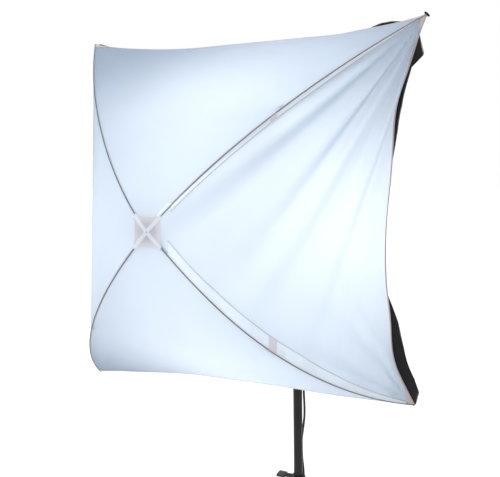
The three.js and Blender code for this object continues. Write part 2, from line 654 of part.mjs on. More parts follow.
function makeLead() {
  const gland = at(0, 84 + 2 * GAP, LAMP_HEIGHT - 8);
  const headLead = [
    gland,
    gland.clone().add(at(0, 10, 0)),
    gland.clone().add(at(2, 30, -4)),
    gland.clone().add(at(8, 46, -21)),
    gland.clone().add(at(14, 52, -47)),
    gland.clone().add(at(18, 45, -76)),
    gland.clone().add(at(19.5, 24, -104)),
    gland.clone().add(at(18.5, -8, -125)),
    gland.clone().add(at(16.8, -42, -139)),
    leadSide(ON_YOKE, YOKE_TIE + 14),
    leadSide(ON_YOKE, YOKE_TIE),
  ];
  add('head_lead', combine([tube(headLead, LEAD_RADIUS, 24)]), 'rubber');

  const columnLead = [
    leadSide(ON_YOKE, YOKE_TIE - GAP),
    leadSide(ON_YOKE, YOKE_TIE - 12),
    leadSide(ON_YOKE + 5, YOKE_TIE - 45),
    leadSide(ON_COLUMN + 6, YOKE_TIE - 90),
    leadSide(ON_COLUMN, COLUMN_TIE + 16),
    leadSide(ON_COLUMN, COLUMN_TIE),
  ];
  add('column_lead', combine([tube(columnLead, LEAD_RADIUS, 10)]), 'rubber');

  const coilEntry = COIL.y - 33;
  const powerCord = [
    leadSide(ON_COLUMN, COLUMN_TIE - GAP),
    leadSide(ON_COLUMN, COLUMN_TIE - 40),
    leadSide(ON_COLUMN, 1040),
    leadSide(ON_COLUMN, 960, 32),
    leadSide(ON_COLUMN + 0.4, 900, 26),
    leadSide(ON_COLUMN + 2.6, 812, 30),
    leadSide(ON_COLUMN + 0.8, 760, 60),
    leadSide(ON_COLUMN + 0.4, 735, 72),
    leadSide(ON_COLUMN + 2, 685, 74),
    leadSide(25.5, 636, 76),
    leadSide(26, 588, 80),
    leadSide(27, 500, 84),
    leadSide(30, 360, 84),
    leadSide(33, 220, 78),
    leadSide(37, 110, 66),
    at(19, 38, 52),
    at(25, 45, 19),
    at(31, 62, 5.2),
    at(35, 88, 3.6),
    at(36, 118, 3.6),
    at(36, coilEntry, 3.6),
  ];
  add('power_cord', combine([tube(powerCord, LEAD_RADIUS, 66)]), 'rubber');

  const [inner, outer] = [COIL.radius - COIL.width / 2, COIL.radius + COIL.width / 2];
  const [low, high] = [0.2, COIL.height];
  const ring = [
    [inner + 3, low], [outer - 3, low], [outer, low + 3], [outer, high - 3], [outer - 3, high],
    [inner + 3, high], [inner, high - 3], [inner, low + 3], [inner + 3, low],
  ];
  add('cord_coil', combine([turned(ring, at(COIL.x, COIL.y, 0), Z, 20)]), 'rubber');

  const tail = at(-COIL.radius, coilEntry, 7);
  const toFront = Y.clone().negate();
  const relief = turned([[0, 0], [4, 0], [6, 24], [6, 30], [0, 30]], tail, toFront, 14);
  const body = box(at(-COIL.radius - 12, coilEntry - 62, 0.2), at(-COIL.radius + 12, coilEntry - 26, 13.8));
  const solids = [relief, body];
  for (const side of [-9.5, 9.5]) {
    const from = at(-COIL.radius + side, coilEntry - 60, 7);
    solids.push(rod(from, from.clone().add(at(0, -21, 0)), 2.3, 12));
  }
  add('plug', combine(solids), 'black_plastic');
}

// Assembly

makeColumns();
makeColumnCollar();
makeLegCollar();
makeColumnFoot();
LEG_SIDES.forEach(makeLeg);
LEG_SIDES.forEach(makeBrace);
makeYoke();
makeHead();
makeBulb();
makeTie('lead_tie_upper', 17, YOKE_TIE);
makeTie('lead_tie_lower', COLUMN_RADIUS, COLUMN_TIE);
makeLead();
makeShaft();
makeHubs();
RIBS.forEach(makeRib);
RIBS.forEach(makeStretcher);
RIBS.forEach(makePocket);
RIBS.forEach(makeDiffuser);
RIBS.forEach(makeRearCover);
makeCentrePatch();

// The origin is the middle of the object's footprint, on the floor, without the lead.
const LEAD_NODES = ['head_lead', 'column_lead', 'power_cord', 'cord_coil', 'plug'];
const bounds = new THREE.Box3();
for (const mesh of model.children) {
  if (!LEAD_NODES.includes(mesh.name)) {
    bounds.expandByObject(mesh);
  }
}
const middle = bounds.getCenter(at(0, 0, 0));
model.position.set(-middle.x, -middle.y, -bounds.min.z);

export default model;
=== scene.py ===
import json
import math

import bpy
import numpy as np
from mathutils import Matrix, Vector


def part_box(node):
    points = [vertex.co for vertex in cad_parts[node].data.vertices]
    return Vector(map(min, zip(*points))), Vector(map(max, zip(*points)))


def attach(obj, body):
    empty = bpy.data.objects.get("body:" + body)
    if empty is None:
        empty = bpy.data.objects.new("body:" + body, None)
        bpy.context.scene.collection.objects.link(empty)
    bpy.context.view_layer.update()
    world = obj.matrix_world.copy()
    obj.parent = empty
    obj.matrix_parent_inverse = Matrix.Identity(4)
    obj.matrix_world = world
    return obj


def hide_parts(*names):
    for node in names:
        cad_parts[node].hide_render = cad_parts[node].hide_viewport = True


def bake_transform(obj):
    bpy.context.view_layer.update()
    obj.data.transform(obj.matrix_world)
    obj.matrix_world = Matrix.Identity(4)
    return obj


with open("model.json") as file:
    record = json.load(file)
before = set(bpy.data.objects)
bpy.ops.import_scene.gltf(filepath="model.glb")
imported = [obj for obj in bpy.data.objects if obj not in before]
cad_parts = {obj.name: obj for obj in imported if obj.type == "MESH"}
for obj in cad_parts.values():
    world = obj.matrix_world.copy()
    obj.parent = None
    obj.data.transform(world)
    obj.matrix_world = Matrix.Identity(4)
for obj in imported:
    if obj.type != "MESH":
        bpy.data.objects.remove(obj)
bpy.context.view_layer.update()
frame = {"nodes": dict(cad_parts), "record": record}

SCENE = bpy.context.scene

# Places taken from the frame
SHAFT_LOW, SHAFT_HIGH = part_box("shaft")
AXIS_X = (SHAFT_LOW.x + SHAFT_HIGH.x) / 2
AXIS_Z = (SHAFT_LOW.z + SHAFT_HIGH.z) / 2
APEX_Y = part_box("crown")[0].y - 0.005
COLUMN_LOW, COLUMN_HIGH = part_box("column_top")
COLUMN_X = (COLUMN_LOW.x + COLUMN_HIGH.x) / 2
COLUMN_Y = (COLUMN_LOW.y + COLUMN_HIGH.y) / 2

# The four ribs, in metres: distance back from the apex = drop * (share of reach) ** bow, as in the frame.
RIB_NAMES = ["top_left", "top_right", "bottom_right", "bottom_left"]
RIB_SIDES = np.array([[-1, 1], [1, 1], [1, -1], [-1, -1]]) / math.sqrt(2)
REACH = np.array([0.574, 0.556, 0.544, 0.582])
DROP = np.array([0.396, 0.397, 0.371, 0.363])
BOW = np.array([1.506, 1.943, 2.963, 1.957])
# How the cloth's edge draws in between two rib tips, for each gore: the depth as a share of the reach,
# then how square the curve is at its start and at its end.
EDGE_SAGS = [(0.094, 3, 6), (0.11, 3.2, 3.6), (0.155, 3, 1.7), (0.1, 2, 2)]

# The round opening at the back of the cover, in metres: its centre is above the axis, behind the apex.
CUFF_RADIUS = 0.08
CUFF_RISE = 0.04
CUFF_BACK = 0.565
CUFF_TUBE_RADIUS = 0.0034

# Cloth thicknesses and the small gaps that keep one layer clear of the next, in metres
COVER_THICKNESS = 0.0008
COVER_GAP = 0.0006
HEM_GAP = 0.0008
HEM_SETBACK = 0.003

# Camera, relative to the middle of the diffuser's rim
RIM_DEPTH = 0.382
CAMERA_LENS = 47.0
CAMERA_SENSOR = 36
CAMERA_BACK = (0.4294, -0.8949, 0.1216)
CAMERA_UP = (-0.0363, 0.1175, 0.9924)
CAMERA_OFFSET = (0.6423, -1.3129, 0.1224)

# Light
WORLD_STRENGTH = 1.0
SUN_STRENGTH = 1.5
SUN_ANGLE = 30
SUN_DIRECTION = (0.3, 0.42, -0.86)
LAMP_GLOW = 0.25
LAMP_BEAM = 4.4
LAMP_COLOUR = (1.0, 0.87, 0.72)
LAMP_SETBACK = 0.05
GLOW_RISE = 0.02
GLOW_SOFTNESS = 0.05
BEAM_SIZE = 0.2
BEAM_RIGHT = 0.03
BEAM_RISE = -0.02
BEAM_DIRECTION = (0.28, -1, -0.06)


# Camera

def make_camera():
    camera = bpy.data.objects.new("camera", bpy.data.cameras.new("camera"))
    SCENE.collection.objects.link(camera)
    camera.data.lens = CAMERA_LENS
    camera.data.sensor_width = CAMERA_SENSOR
    back = Vector(CAMERA_BACK).normalized()
    up = Vector(CAMERA_UP)
    right = up.cross(back).normalized()
    up = back.cross(right)
    turn = Matrix((right, up, back)).transposed().to_4x4()
    right_by, forward_by, up_by = CAMERA_OFFSET
    place = Vector((AXIS_X + right_by, APEX_Y + RIM_DEPTH + forward_by, AXIS_Z + up_by))
    camera.matrix_world = Matrix.Translation(place) @ turn
    SCENE.camera = camera


# Materials

def material(name, colour, roughness=0.6, metallic=0.0):
    made = bpy.data.materials.new(name)
    made.use_nodes = True
    shader = made.node_tree.nodes["Principled BSDF"]
    shader.inputs["Base Color"].default_value = (*colour, 1)
    shader.inputs["Roughness"].default_value = roughness
    shader.inputs["Metallic"].default_value = metallic
    return made


def coordinates(made):
    return made.node_tree.nodes.new("ShaderNodeTexCoord").outputs["Object"]


def noise_value(made, vector, scale, detail=3.0):
    texture = made.node_tree.nodes.new("ShaderNodeTexNoise")
    texture.inputs["Scale"].default_value = scale
    texture.inputs["Detail"].default_value = detail
    made.node_tree.links.new(vector, texture.inputs["Vector"])
    return texture.outputs["Fac"]


def remap(made, value, low, high):
    """The middle of a noise's range, spread over low to high."""
    node = made.node_tree.nodes.new("ShaderNodeMapRange")
    node.inputs["From Min"].default_value = 0.3
    node.inputs["From Max"].default_value = 0.7
    node.inputs["To Min"].default_value = low
    node.inputs["To Max"].default_value = high
    made.node_tree.links.new(value, node.inputs["Value"])
    return node.outputs["Result"]


def tinted(made, value, first, second):
    ramp = made.node_tree.nodes.new("ShaderNodeValToRGB")
    ramp.color_ramp.elements[0].position = 0.3
    ramp.color_ramp.elements[1].position = 0.7
    ramp.color_ramp.elements[0].color = (*first, 1)
    ramp.color_ramp.elements[1].color = (*second, 1)
    made.node_tree.links.new(value, ramp.inputs["Fac"])
    return ramp.outputs["Color"]


def bumped(made, value, strength, distance=0.001):
    node = made.node_tree.nodes.new("ShaderNodeBump")
    node.inputs["Strength"].default_value = strength
    node.inputs["Distance"].default_value = distance
    made.node_tree.links.new(value, node.inputs["Height"])
    return node.outputs["Normal"]


def woven(made, pitch):
    """A plain weave: two crossed sets of threads, as heights."""
    nodes, links = made.node_tree.nodes, made.node_tree.links
    vector = coordinates(made)
    threads = []
    for direction in ("X", "Z"):
        wave = nodes.new("ShaderNodeTexWave")
        wave.bands_direction = direction
        wave.inputs["Scale"].default_value = 1 / (pitch * 3.2)
        wave.inputs["Distortion"].default_value = 0.4
        links.new(vector, wave.inputs["Vector"])
        threads.append(wave.outputs["Fac"])
    add = nodes.new("ShaderNodeMath")
    add.operation = "ADD"
    links.new(threads[0], add.inputs[0])
    links.new(threads[1], add.inputs[1])
    return vector, add.outputs["Value"]


def cloth_material(name, first, second, through, roughness=0.75, pitch=0.0012, sheen=0.15):
    """Thin cloth: part of the light is reflected and part goes through."""
    made = material(name, first, roughness)
    nodes, links = made.node_tree.nodes, made.node_tree.links
    shader = nodes["Principled BSDF"]
    shader.inputs["Sheen Weight"].default_value = sheen
    shader.inputs["Specular IOR Level"].default_value = 0.2
    vector, weave = woven(made, pitch)
    colour = tinted(made, noise_value(made, vector, 9.0), first, second)
    links.new(colour, shader.inputs["Base Color"])
    normal = bumped(made, weave, 0.25, 0.0003)
    links.new(normal, shader.inputs["Normal"])
    if through > 0:
        translucent = nodes.new("ShaderNodeBsdfTranslucent")
        links.new(colour, translucent.inputs["Color"])
        links.new(normal, translucent.inputs["Normal"])
        mix = nodes.new("ShaderNodeMixShader")
        mix.inputs["Fac"].default_value = through
        links.new(shader.outputs["BSDF"], mix.inputs[1])
        links.new(translucent.outputs["BSDF"], mix.inputs[2])
        links.new(mix.outputs["Shader"], nodes["Material Output"].inputs["Surface"])
    return made


def worn_material(name, colour, worn, roughness, metallic=0.0, grain=400.0, bump=0.15):
    """A hard surface with fine grain, slight colour change and uneven gloss."""
    made = material(name, colour, roughness, metallic)
    links = made.node_tree.links
    shader = made.node_tree.nodes["Principled BSDF"]
    vector = coordinates(made)
    tint = tinted(made, noise_value(made, vector, 14.0), colour, worn)
    links.new(tint, shader.inputs["Base Color"])
    gloss = remap(made, noise_value(made, vector, 35.0), roughness * 0.85, roughness * 1.15)
    links.new(gloss, shader.inputs["Roughness"])
    normal = bumped(made, noise_value(made, vector, grain, 2.0), bump, 0.0002)
    links.new(normal, shader.inputs["Normal"])
    return made


# Cloths: colours of the two ends of the tint, share of light let through, then roughness, pitch and sheen.
CLOTHS = {
    "white_fabric": ("white_cloth", (0.42, 0.505, 0.625), (0.435, 0.525, 0.645), 0.5, 0.75, 0.0012, 0.05),
    "facing": ("facing_cloth", (0.84, 0.89, 0.95), (0.86, 0.91, 0.96), 0.5, 0.75, 0.0012, 0.05),
    "patch_fabric": ("patch_cloth", (0.7, 0.69, 0.72), (0.76, 0.74, 0.77), 0.5, 0.75, 0.0012, 0.05),
    "corner": ("corner_cloth", (0.56, 0.5, 0.47), (0.62, 0.56, 0.53), 0.3),
    "black_fabric": ("black_cloth", (0.004, 0.0042, 0.004), (0.009, 0.0092, 0.009), 0.0, 0.8, 0.0016, 0.03),
    "lining": ("silver_lining", (0.4, 0.4, 0.41), (0.46, 0.46, 0.47), 0.0, 0.35, 0.0025, 0.0),
}

# Threads, hard parts and rubber: the two ends of the tint, then roughness, metallic, grain and bump.
SURFACES = {
    # Painted shade: the dark seam cord stands partly for the seam and partly for the rib's shadow seen
    # through the cloth.
    "piping_and_painted_shade": ((0.13, 0.105, 0.1), (0.18, 0.15, 0.14), 0.6, 0.0, 900),
    "binding": ((0.33, 0.26, 0.24), (0.4, 0.32, 0.3), 0.7, 0.0, 900),
    "pale_binding": ((0.5, 0.5, 0.52), (0.56, 0.56, 0.58), 0.7, 0.0, 900),
    # Painted shade: the grey cord along the facing's edge stands for the soft shade line where the doubled
    # cloth ends.
    "facing_shade_line": ((0.36, 0.36, 0.38), (0.42, 0.42, 0.44), 0.7, 0.0, 900),
    "thread": ((0.62, 0.62, 0.64), (0.7, 0.7, 0.72), 0.7),
    "black_metal": ((0.007, 0.007, 0.0075), (0.013, 0.013, 0.014), 0.38, 0.6, 700, 0.08),
    "black_plastic": ((0.009, 0.009, 0.0095), (0.016, 0.016, 0.0165), 0.5, 0.0, 900, 0.3),
    "switch_plastic": ((0.03, 0.03, 0.032), (0.04, 0.04, 0.042), 0.25),
    "tie_plastic": ((0.015, 0.015, 0.015), (0.025, 0.025, 0.025), 0.35),
    "plug_plastic": ((0.018, 0.018, 0.018), (0.028, 0.028, 0.028), 0.45),
    "bulb_plastic": ((0.7, 0.7, 0.68), (0.76, 0.76, 0.74), 0.4),
    "lead_rubber": ((0.007, 0.007, 0.0075), (0.012, 0.012, 0.0125), 0.5, 0.0, 300, 0.1),
    "foot_rubber": ((0.02, 0.02, 0.02), (0.035, 0.034, 0.033), 0.85, 0.0, 500, 0.4),
    "steel": ((0.55, 0.56, 0.58), (0.63, 0.64, 0.65), 0.3, 1.0, 600, 0.05),
    "fibreglass": ((0.03, 0.028, 0.027), (0.05, 0.046, 0.044), 0.35),
    "brass": ((0.6, 0.45, 0.2), (0.66, 0.5, 0.24), 0.3, 1.0),
}


def make_materials():
    table = {slot: cloth_material(*values) for slot, values in CLOTHS.items()}
    for name, values in SURFACES.items():
        table[name] = worn_material(name, *values)
    table["frosted_glass"] = material("frosted_glass", (0.95, 0.93, 0.88), 0.5)
    glass = table["frosted_glass"].node_tree.nodes["Principled BSDF"]
    glass.inputs["Emission Color"].default_value = (1.0, 0.97, 0.93, 1)
    glass.inputs["Emission Strength"].default_value = 1.5
    return table


# Mesh helpers

def mesh_object(name, points, faces, used, smooth=True, indices=None, normals=None):
    mesh = bpy.data.meshes.new(name)
    mesh.from_pydata([tuple(p) for p in points], [], [tuple(f) for f in faces])
    for entry in used:
        mesh.materials.append(entry)
    mesh.validate()
    if smooth:
        mesh.polygons.foreach_set("use_smooth", [True] * len(mesh.polygons))
    if indices is not None:
        mesh.polygons.foreach_set("material_index", indices)
    if normals is not None:
        mesh.normals_split_custom_set_from_vertices([tuple(n) for n in normals])
    made = bpy.data.objects.new(name, mesh)
    SCENE.collection.objects.link(made)
    return made


def grid_faces(rows, columns, start=0, flip=False):
    faces = []
    for i in range(rows):
        for j in range(columns):
            a = start + i * (columns + 1) + j
            b, c, d = a + 1, a + columns + 2, a + columns + 1
            faces.append((a, d, c, b) if flip else (a, b, c, d))
    return faces


def between(t, first_t, last_t, first, last):
    """The point at t on the line that passes first at first_t and last at last_t."""
    return (last_t - t) / (last_t - first_t) * first + (t - first_t) / (last_t - first_t) * last


def smooth_path(points, spacing):
    """A Catmull-Rom curve through the points, as evenly spaced points."""
    given = [np.array(p, float) for p in points]
    ends = [2 * given[0] - given[1], *given, 2 * given[-1] - given[-2]]
    dense = []
    for a, b, c, d in zip(ends, ends[1:], ends[2:], ends[3:]):
        knots = [0.0]
        for first, second in ((a, b), (b, c), (c, d)):
            knots.append(knots[-1] + max(np.linalg.norm(second - first), 1e-6) ** 0.5)
        for t in np.linspace(knots[1], knots[2], 24, endpoint=False):
            a1 = between(t, knots[0], knots[1], a, b)
            a2 = between(t, knots[1], knots[2], b, c)
            a3 = between(t, knots[2], knots[3], c, d)
            b1 = between(t, knots[0], knots[2], a1, a2)
            b2 = between(t, knots[1], knots[3], a2, a3)
            dense.append(between(t, knots[1], knots[2], b1, b2))
    dense.append(given[-1])
    dense = np.array(dense)
    steps = np.linalg.norm(np.diff(dense, axis=0), axis=1)
    along = np.concatenate([[0], np.cumsum(steps)])
    count = max(2, int(round(along[-1] / spacing)))
    wanted = np.linspace(0, along[-1], count + 1)
    return np.stack([np.interp(wanted, along, dense[:, k]) for k in range(3)], axis=1)


def tube(name, path, radius, used, sides=12):
    """A closed tube along a path, with a frame that never flips. The radius may vary along it."""
    path = np.array(path, float)
    radii = np.broadcast_to(radius, len(path))
    tangents = np.gradient(path, axis=0)
    tangents /= np.linalg.norm(tangents, axis=1)[:, None]
    across = np.cross(tangents[0], [0.3, 0.2, 0.93])
    points, faces = [], []
    angles = np.arange(sides) * 2 * math.pi / sides
    for centre, tangent, size in zip(path, tangents, radii):
        across = across - tangent * (across @ tangent)
        across /= np.linalg.norm(across)
        other = np.cross(tangent, across)
        points.extend(centre + size * (math.cos(a) * across + math.sin(a) * other) for a in angles)
    for i in range(len(path) - 1):
        for j in range(sides):
            k = (j + 1) % sides
            faces.append((i * sides + j, i * sides + k, (i + 1) * sides + k, (i + 1) * sides + j))
    faces.append(tuple(range(sides))[::-1])
    faces.append(tuple((len(path) - 1) * sides + j for j in range(sides)))
    return mesh_object(name, points, faces, used)


# Lead

def on_column(radius, height, azimuth=40.0):
    angle = math.radians(azimuth)
    return (COLUMN_X + radius * math.cos(angle), COLUMN_Y + radius * math.sin(angle), height)


def near_column(x, y, z):
    return (COLUMN_X + x, COLUMN_Y + y, z)


# Heights of the two ties, how far from the column's axis the lead lies, and the coil on the floor, in metres
LEAD_RADIUS = 0.00325
LEAD_GAP = 0.00035
LEAD_SPACING = 0.004
YOKE_TIE = 1.288
COLUMN_TIE = 1.15
ON_YOKE = 0.017 + LEAD_GAP + LEAD_RADIUS
ON_COLUMN = 0.0125 + LEAD_GAP + LEAD_RADIUS
ON_FLOOR = 0.0036
COIL_Y = 0.19
COIL_RADIUS = 0.036
COIL_TURNS = 5.5
POINTS_PER_TURN = 24


def head_lead_route():
    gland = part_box("cord_gland")
    start = Vector((AXIS_X, gland[1].y + LEAD_GAP, (gland[0].z + gland[1].z) / 2))
    steps = [
        (0, 0, 0), (0, 0.01, 0), (0.002, 0.03, -0.004),
        (0.008, 0.046, -0.021), (0.014, 0.052, -0.047), (0.018, 0.045, -0.076),
        (0.0195, 0.024, -0.104), (0.0185, -0.008, -0.125), (0.0168, -0.042, -0.139),
    ]
    route = [tuple(start + Vector(step)) for step in steps]
    return [*route, on_column(ON_YOKE, YOKE_TIE + 0.014), on_column(ON_YOKE, YOKE_TIE)]


def column_lead_route():
    return [
        on_column(ON_YOKE, YOKE_TIE - LEAD_GAP), on_column(ON_YOKE, YOKE_TIE - 0.012),
        on_column(ON_YOKE + 0.005, YOKE_TIE - 0.045), on_column(ON_COLUMN + 0.006, YOKE_TIE - 0.09),
        on_column(ON_COLUMN, COLUMN_TIE + 0.016), on_column(ON_COLUMN, COLUMN_TIE),
    ]


def power_cord_route():
    hanging = [
        on_column(ON_COLUMN, COLUMN_TIE - LEAD_GAP), on_column(ON_COLUMN, COLUMN_TIE - 0.04),
        on_column(ON_COLUMN, 1.04), on_column(ON_COLUMN, 0.96, 32),
        on_column(ON_COLUMN + 0.0004, 0.9, 26), on_column(ON_COLUMN + 0.0026, 0.812, 30),
        on_column(ON_COLUMN + 0.0008, 0.76, 60), on_column(ON_COLUMN + 0.0004, 0.735, 72),
        on_column(ON_COLUMN + 0.002, 0.685, 74), on_column(0.0255, 0.636, 76),
        on_column(0.026, 0.588, 80), on_column(0.027, 0.5, 84),
        on_column(0.03, 0.36, 84), on_column(0.033, 0.22, 78), on_column(0.037, 0.11, 66),
    ]
    floor = [
        near_column(0.019, 0.038, 0.052), near_column(0.025, 0.045, 0.019),
        near_column(0.031, 0.062, 0.0052), near_column(0.035, 0.088, ON_FLOOR),
        near_column(0.0362, 0.118, ON_FLOOR), near_column(0.0388, 0.15, ON_FLOOR),
        near_column(0.0417, 0.178, ON_FLOOR),
    ]
    return hanging + floor


def coil_turns():
    """Three turns side by side on the floor, then two and a half on top of them."""
    pitch = 2 * LEAD_RADIUS + 0.0001
    upper = ON_FLOOR + pitch * 0.87
    levels = [
        (COIL_RADIUS + pitch, ON_FLOOR), (COIL_RADIUS, ON_FLOOR), (COIL_RADIUS - pitch, ON_FLOOR),
        (COIL_RADIUS - pitch / 2, upper), (COIL_RADIUS + pitch / 2, upper), (COIL_RADIUS + pitch / 2, upper),
    ]
    points = []
    for step in range(1, int(COIL_TURNS * POINTS_PER_TURN) + 1):
        turn, share = divmod(step / POINTS_PER_TURN, 1)
        now = levels[int(turn)]
        after = levels[min(int(turn) + 1, len(levels) - 1)]
        ease = np.clip((share - 0.72) / 0.28, 0, 1)
        ease = ease * ease * (3 - 2 * ease)
        radius = now[0] + (after[0] - now[0]) * ease
        height = now[1] + (after[1] - now[1]) * ease
        angle = 2 * math.pi * step / POINTS_PER_TURN
        across, back = radius * math.cos(angle), COIL_Y + radius * math.sin(angle)
        points.append(near_column(across, back, height))
    return points


def make_leads(table):
    rubber = [table["lead_rubber"]]

    path = smooth_path(head_lead_route(), LEAD_SPACING)
    head = tube("head_lead_sheath", path, LEAD_RADIUS, rubber)
    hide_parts("head_lead")
    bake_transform(head)

    path = smooth_path(column_lead_route(), LEAD_SPACING)
    column = tube("column_lead_sheath", path, LEAD_RADIUS, rubber)
    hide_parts("column_lead")
    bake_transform(column)

    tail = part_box("plug")[1].y
    exit_coil = [
        near_column(-0.0388, COIL_Y - 0.012, 0.0098), near_column(-0.0372, COIL_Y - 0.024, 0.0098),
        near_column(-0.0362, COIL_Y - 0.0295, 0.0085), (COLUMN_X - 0.036, tail + 0.0003, 0.007),
    ]
    path = smooth_path(power_cord_route() + coil_turns() + exit_coil, LEAD_SPACING)
    cord = tube("power_cord_sheath", path, LEAD_RADIUS, rubber)
    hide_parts("power_cord", "cord_coil")
    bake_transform(cord)


# Fabric surfaces

def seam(rib, share):
    share = np.asarray(share, float)
    out = REACH[rib] * share
    side = RIB_SIDES[rib]
    back = DROP[rib] * share ** BOW[rib]
    return np.stack([AXIS_X + side[0] * out, APEX_Y + back, AXIS_Z + side[1] * out], axis=-1)


def outward_of(rib):
    """The rib's direction as seen from the front."""
    direction = RIB_SIDES[rib]
    return np.array([direction[0], 0, direction[1]])


def across_of(rib):
    """The direction at right angles to the rib, as seen from the front."""
    direction = RIB_SIDES[rib]
    return np.array([-direction[1], 0, direction[0]])


def gore_of(rib, side):
    """The neighbouring rib on that side (-1 or 1), and the first rib of the gore between them."""
    neighbour = (rib + (1 if side > 0 else 3)) % 4
    return neighbour, rib if side > 0 else neighbour


def edge_sag(rib, side, across):
    """How far the edge draws in there, as a share of the reach."""
    depth, start_power, end_power = EDGE_SAGS[gore_of(rib, side)[1]]
    along = np.asarray(across, float) * side + (0 if side > 0 else 1)
    power = np.where(along < 0.5, start_power, end_power)
    return depth * (1 - np.abs(2 * along - 1) ** power)


def flat_gore(rib, side, share, across):
    """The smooth cloth: share runs from the apex to the edge, across from this rib to its neighbour."""
    neighbour = gore_of(rib, side)[0]
    reach = np.clip(share * (1 - edge_sag(rib, side, across)), 1e-4, None)
    across = np.asarray(across)[..., None]
    return seam(rib, reach) * (1 - across) + seam(neighbour, reach) * across


def normals_of(function, share, across, step=1e-3):
    along = function(share + step, across) - function(share - step, across)
    over = function(share, across + step) - function(share, across - step)
    normal = np.cross(along, over)
    normal /= np.linalg.norm(normal, axis=-1)[..., None] + 1e-12
    return -normal if np.median(normal[..., 1]) > 0 else normal


def fan_folds(points, corner, towards, apex, count, reach, height, phase):
    """Folds that radiate from a corner: a ripple in the angle round it, dying away with distance."""
    first = (towards - corner) / np.linalg.norm(towards - corner)
    second = apex - corner
    second = second - first * (second @ first)
    second /= np.linalg.norm(second)
    offset = points - corner
    x, y = offset @ first, offset @ second
    distance = np.hypot(x, y)
    angle = np.arctan2(y, x)
    far = 2 * distance / reach
    swell = (far * np.exp(1 - far)) ** 1.5
    bend = 0.5 * np.sin(2.4 * distance / reach + phase)
    ripple = np.sin(count * angle + phase + bend)
    ripple = ripple + 0.3 * np.sin(1.6 * count * angle + 2.1 * phase - bend)
    return height * swell * ripple


# Folds of each gore: which corner, how many, how far they reach, how high, and where they start.
FOLDS = {
    0: [(1, 26, 0.34, 0.0008, 0.4), (0, 20, 0.24, 0.0007, 1.1)],
    1: [(1, 40, 0.6, 0.0048, 1.9), (2, 30, 0.3, 0.0010, 0.3)],
    2: [(2, 24, 0.26, 0.0006, 2.2), (3, 22, 0.2, 0.0009, 0.9)],
    3: [(3, 20, 0.18, 0.0005, 0.1), (0, 20, 0.24, 0.0006, 2.6)],
}


def relief(rib, side, share, across, points):
    """How far the cloth lies out of its smooth surface. It is held at the seams."""
    start = gore_of(rib, side)[1]
    end = (start + 1) % 4
    apex = seam(0, 1e-4)
    height = np.zeros(points.shape[:-1])
    for corner, count, reach, size, phase in FOLDS[start]:
        other = end if corner == start else start
        ends = (seam(corner, 1.0), seam(other, 1.0), apex)
        height += fan_folds(points, *ends, count, reach, size, phase)
    x, z = points[..., 0], points[..., 2]
    height += 0.0008 * np.sin(19 * x + 5 * z + 1.0) * np.sin(13 * z - 7 * x)
    held = np.clip(across / 0.05, 0, 1)
    return height * held * held * (3 - 2 * held) * np.clip(share / 0.1, 0, 1)


def cloth_point(rib, side, share, across):
    """The cloth with its folds: the smooth surface moved along its normals by the relief."""
    points = flat_gore(rib, side, share, across)
    normal = normals_of(lambda s, a: flat_gore(rib, side, s, a), share, across)
    mirrored = np.where(across > 0.5, 1 - across, across)
    return points + normal * relief(rib, side, share, mirrored, points)[..., None]


def half_gore_grid(rows, columns, first=0.014):
    share = first + (1 - first) * np.linspace(0, 1, rows + 1)
    across = np.linspace(0, 0.5, columns + 1)
    return np.meshgrid(share, across, indexing="ij")


def fold_weights(rib, side):
    """Two points for half a gore: one on the shaft's axis level with the middle of its edge, and that point
    moved towards the edge's middle, square to the rib.
    """
    outward = outward_of(rib)
    middle = flat_gore(rib, side, np.array(1.0), np.array(0.5))
    start = np.array([AXIS_X, middle[1], AXIS_Z])
    offset = middle - start
    lateral = offset - outward * (offset @ outward)
    return start, start + lateral


def rear_weights(rib, side):
    """Two points for the rear cover: its rib's tip, and the foot from the tip on the plane through the
    edge's middle and two points on the cuff.
    """
    outward = outward_of(rib)
    tip = seam(rib, 1.0)
    middle = flat_gore(rib, side, np.array(1.0), np.array(0.5))
    centre = np.array([AXIS_X, APEX_Y + CUFF_BACK, AXIS_Z + CUFF_RISE])
    middle_offset = middle - np.array([AXIS_X, middle[1], AXIS_Z])
    lateral = middle_offset - outward * (middle_offset @ outward)
    lateral /= np.linalg.norm(lateral)
    cuff_near = centre + CUFF_RADIUS * outward
    cuff_far = centre + CUFF_RADIUS * (outward + lateral) / math.sqrt(2)
    rows = np.array([middle - tip, cuff_near - tip, cuff_far - tip])
    gradient = np.linalg.solve(rows, np.ones(3))
    return tip, tip + gradient / (gradient @ gradient)


def follow_fold(piece, rib, side, rear=False):
    start, end = (rear_weights if rear else fold_weights)(rib, side)
    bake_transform(piece)


def make_diffuser(table):
    """The white cloth, as two half gores beside each rib."""
    rows, columns = 96, 44
    share, across = half_gore_grid(rows, columns)
    for rib, name in enumerate(RIB_NAMES):
        for side, label in ((-1, "a"), (1, "b")):
            function = lambda s, a, rib=rib, side=side: cloth_point(rib, side, s, a)
            points = function(share, across)
            normals = normals_of(function, share, np.clip(across, 2e-3, 1))
            faces = grid_faces(rows, columns, flip=side < 0)
            piece = mesh_object(f"diffuser_{name}_{label}", points.reshape(-1, 3), faces,
                                [table["white_fabric"]], normals=normals.reshape(-1, 3))
            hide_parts("diffuser_" + name)
            follow_fold(piece, rib, side)


